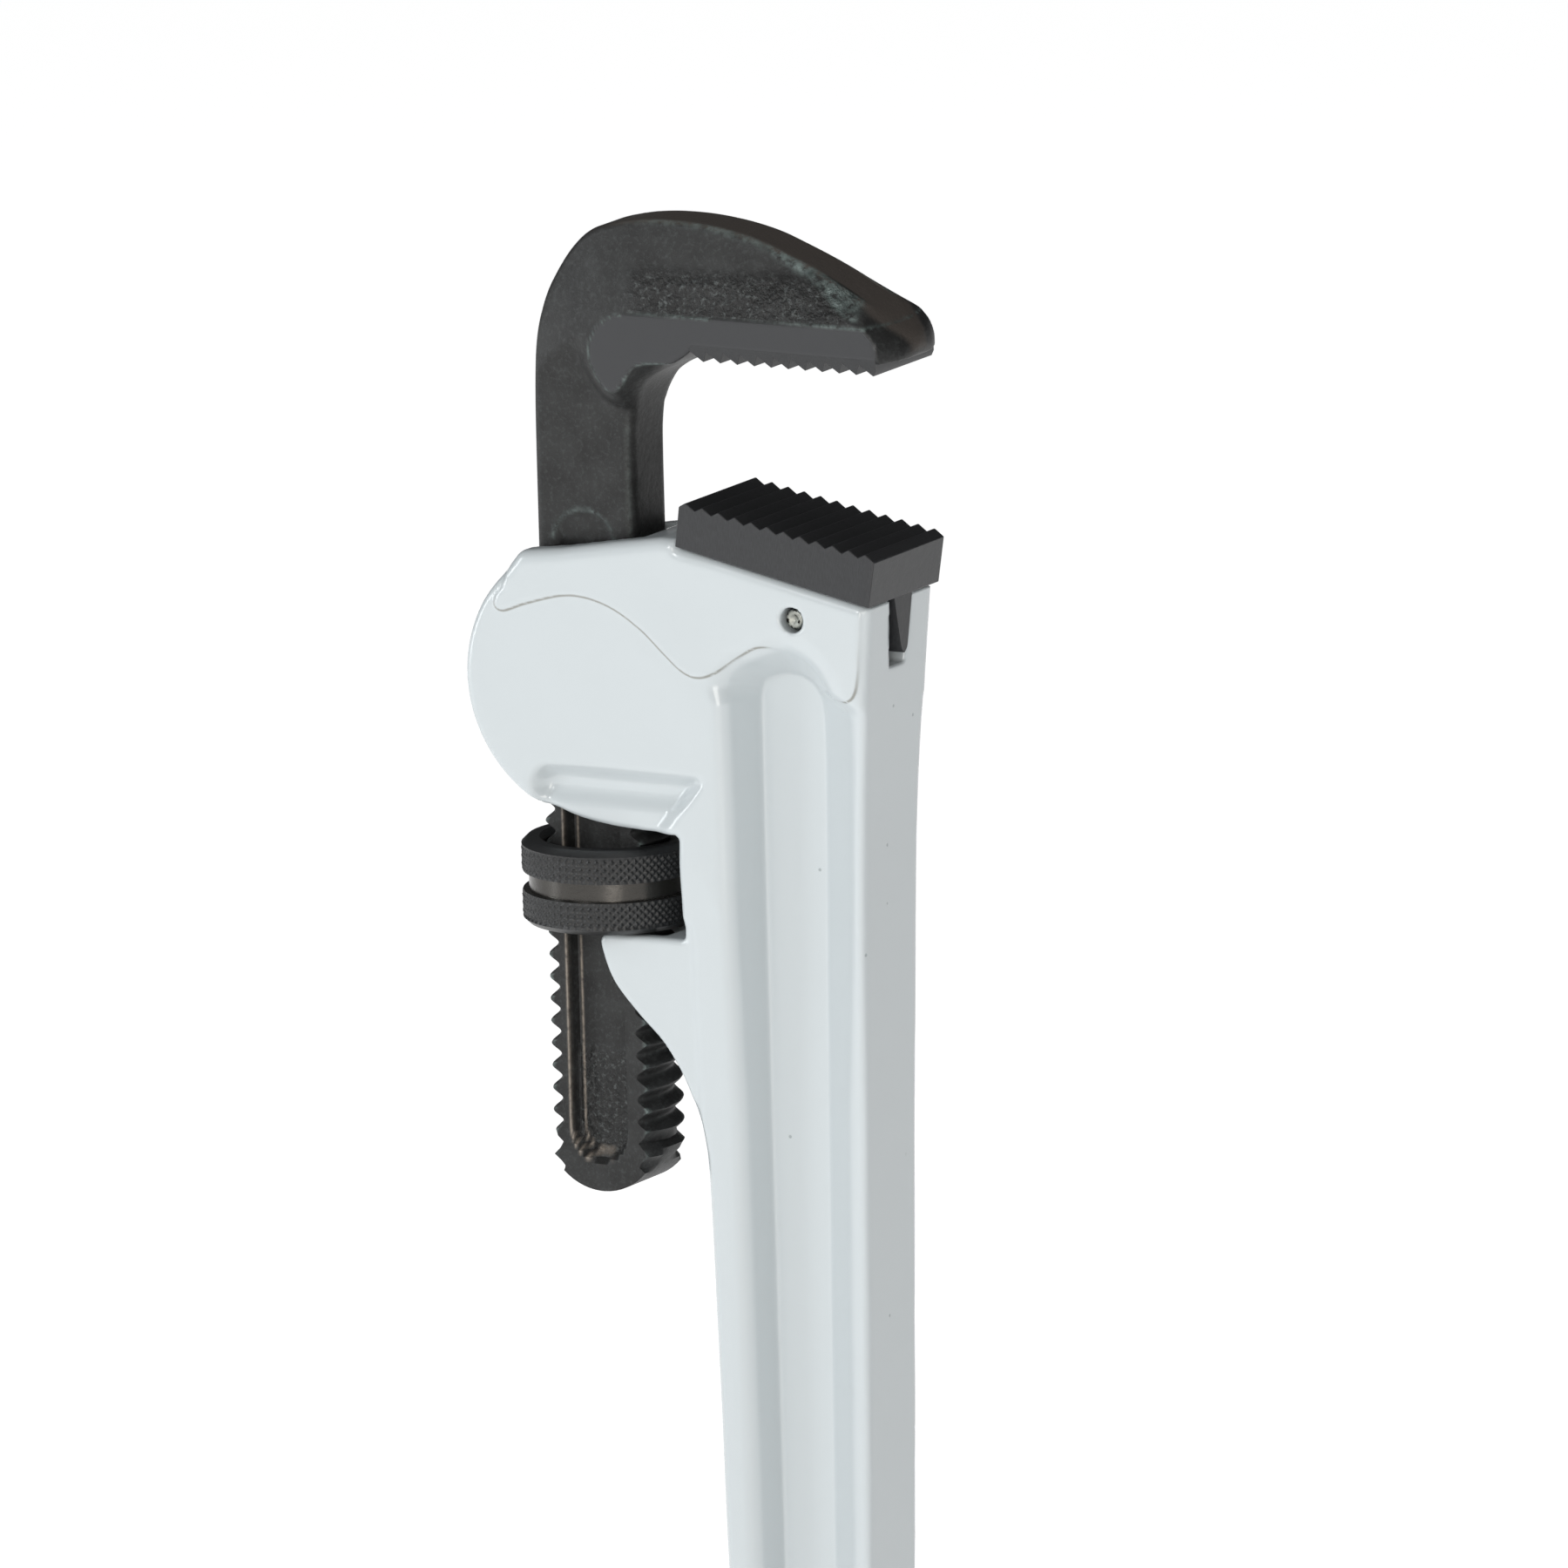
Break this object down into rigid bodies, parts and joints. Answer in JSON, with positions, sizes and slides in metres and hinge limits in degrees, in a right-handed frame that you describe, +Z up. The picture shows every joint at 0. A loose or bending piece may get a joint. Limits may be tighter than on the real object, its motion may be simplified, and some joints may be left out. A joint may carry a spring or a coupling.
{
  "type": "pipe wrench",
  "caption": "Straight pipe wrench with an I-section aluminium handle, a sliding toothed hook jaw, a knurled adjusting nut and a pinned heel jaw.",
  "frame": {"origin": "centre of the hang hole in the handle's end, on the wrench's middle plane", "axes": "+Z runs up the handle to the jaws, +X points out of the open side of the mouth, and Y runs across the wrench along the hang hole's axis"},
  "size_m": [0.086, 0.032, 0.3276],
  "materials": {
    "painted_casting": "aluminium sand casting under a cool light grey gloss enamel",
    "forged_steel": "drop-forged steel, black oxide over a scaly skin",
    "black_steel": "turned and knurled steel, black oxide",
    "ground_steel": "machined and hardened steel, black oxide",
    "pin_steel": "plain drawn steel",
    "spring_steel": "oiled spring steel"
  },
  "bodies": {
    "handle": {"handle": "painted_casting", "heel_jaw": "ground_steel", "heel_jaw_pin": "pin_steel", "leaf_spring_rivet": "pin_steel", "coil_spring": "spring_steel"},
    "jaw_rocker": {"leaf_spring": "spring_steel"},
    "adjusting_nut": {"adjusting_nut": "black_steel"},
    "hook_jaw": {"hook_jaw": "forged_steel"}
  },
  "joints": [
    {"name": "jaw_rock", "type": "hinge", "parent": "handle", "child": "jaw_rocker", "pos_m": [-0.0519, 0, 0.223], "axis": [0, 1, 0], "range_deg": [-1.4, 0], "stiffness_Nm_per_rad": 2, "springref_deg": 5.73},
    {"name": "nut_spin", "type": "hinge", "parent": "jaw_rocker", "child": "adjusting_nut", "pos_m": [-0.038, 0, 0.195], "axis": [0, 0, 1], "range_deg": [-1981, 1981]},
    {"name": "jaw_slide", "type": "slide", "parent": "jaw_rocker", "child": "hook_jaw", "axis": [0, 0, 1], "range_m": [-0.022, 0.022]}
  ],
  "couplings": [
    {"joint": "nut_spin", "follows": "jaw_slide", "rad_per_m": -1570.8}
  ]
}
